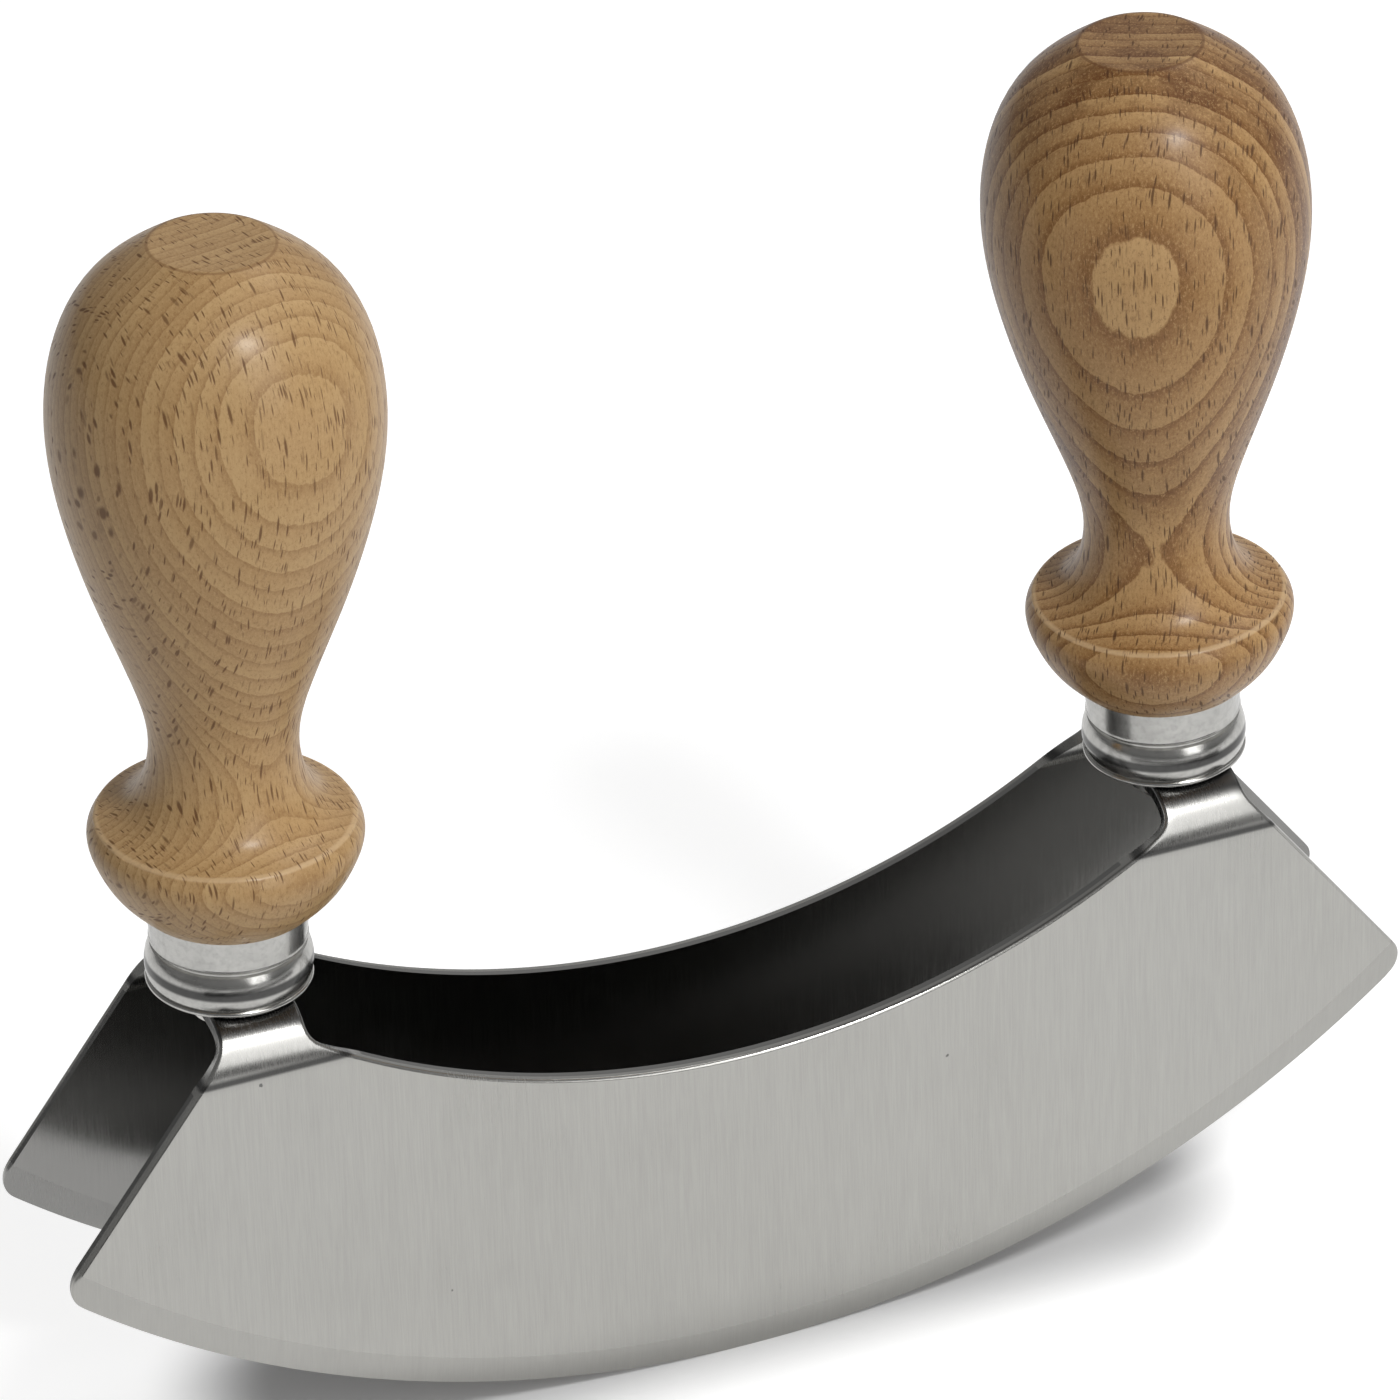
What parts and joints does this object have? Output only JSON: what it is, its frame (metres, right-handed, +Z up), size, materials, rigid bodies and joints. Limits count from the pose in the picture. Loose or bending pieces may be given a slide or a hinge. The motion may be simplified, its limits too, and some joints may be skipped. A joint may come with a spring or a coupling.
{
  "type": "mezzaluna",
  "caption": "Rocking herb chopper with parallel crescent blades folded from a single steel sheet, carried by turned beech bulb handles on bright rolled ferrules.",
  "frame": {"origin": "under the middle of the tool, at the level of the lowest points of both cutting edges", "axes": "+X along the blades, +Y across from the front blade to the rear blade, +Z up along the handles"},
  "size_m": [0.1774, 0.04, 0.1644],
  "materials": {
    "blade_steel": "satin, brushed across the blade, ground along both cutting edges",
    "ferrule_steel": "polished",
    "beech": "turned, with a satin clear varnish",
    "screw_steel": "bright zinc"
  },
  "bodies": {
    "root": {"twin_blade": "blade_steel", "left_ferrule": "ferrule_steel", "right_ferrule": "ferrule_steel", "left_handle": "beech", "right_handle": "beech", "handle_screws": "screw_steel", "screw_washers": "screw_steel"}
  },
  "joints": []
}
